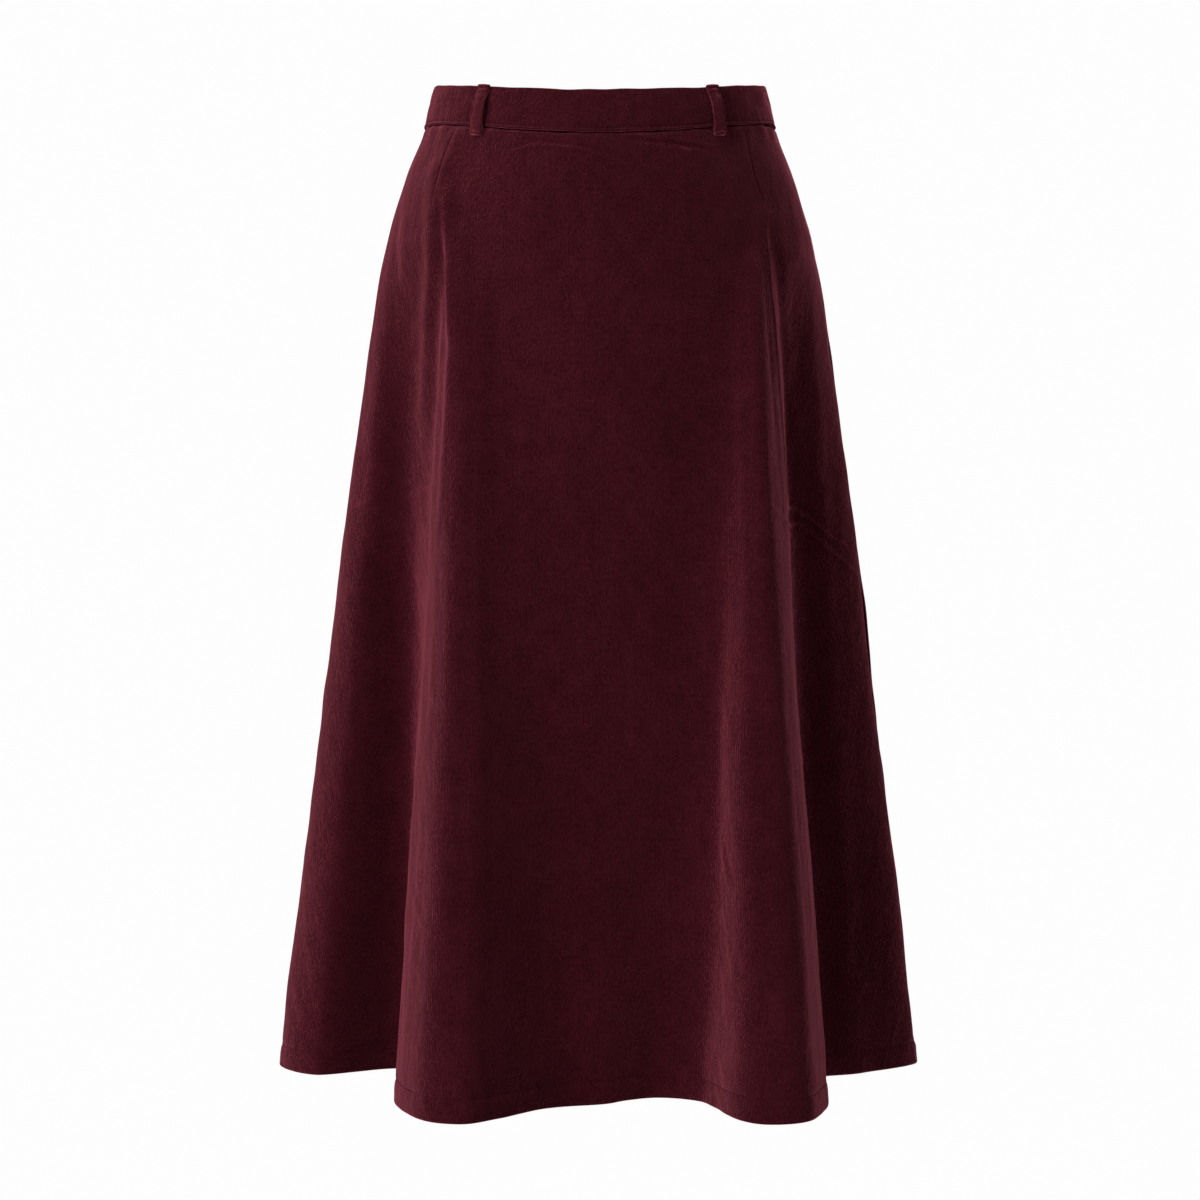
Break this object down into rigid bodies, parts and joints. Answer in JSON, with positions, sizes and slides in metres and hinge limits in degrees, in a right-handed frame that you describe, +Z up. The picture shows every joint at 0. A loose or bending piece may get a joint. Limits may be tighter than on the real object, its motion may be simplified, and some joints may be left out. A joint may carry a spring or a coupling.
{
  "type": "corduroy A-line skirt",
  "caption": "Midi-length A-line skirt with a fixed waistband, belt loops, hip darts, deep flared folds, a stitched hem and a concealed centre back zip; worn shape, hollow.",
  "frame": {"origin": "centre of the wearer's waist, half way up the waistband at the side seams", "axes": "+Z up along the body, -Y to the front of the skirt, +X to the right as seen from the front"},
  "size_m": [0.5152, 0.459, 0.7812],
  "materials": {
    "corduroy": "fine ribbed cotton pile, matte with a soft nap sheen",
    "zip_tape": "woven polyester tape, matte",
    "zip_metal": "satin lacquer in the cloth's colour"
  },
  "bodies": {
    "skirt": {"front_panel": "corduroy", "back_left_panel": "corduroy", "back_right_panel": "corduroy", "waistband": "corduroy", "belt_loop_front_left": "corduroy", "belt_loop_front_right": "corduroy", "belt_loop_back_left": "corduroy", "belt_loop_back_right": "corduroy", "zip_tape_left": "zip_tape", "zip_tape_right": "zip_tape", "zip_slider": "zip_metal"},
    "zip_pull": {"zip_pull": "zip_metal"}
  },
  "joints": [
    {"name": "zip_pull_hinge", "type": "hinge", "parent": "skirt", "child": "zip_pull", "pos_m": [0, 0.10237, 0.00367], "axis": [1, 0, 0], "range_deg": [0, 150]}
  ]
}
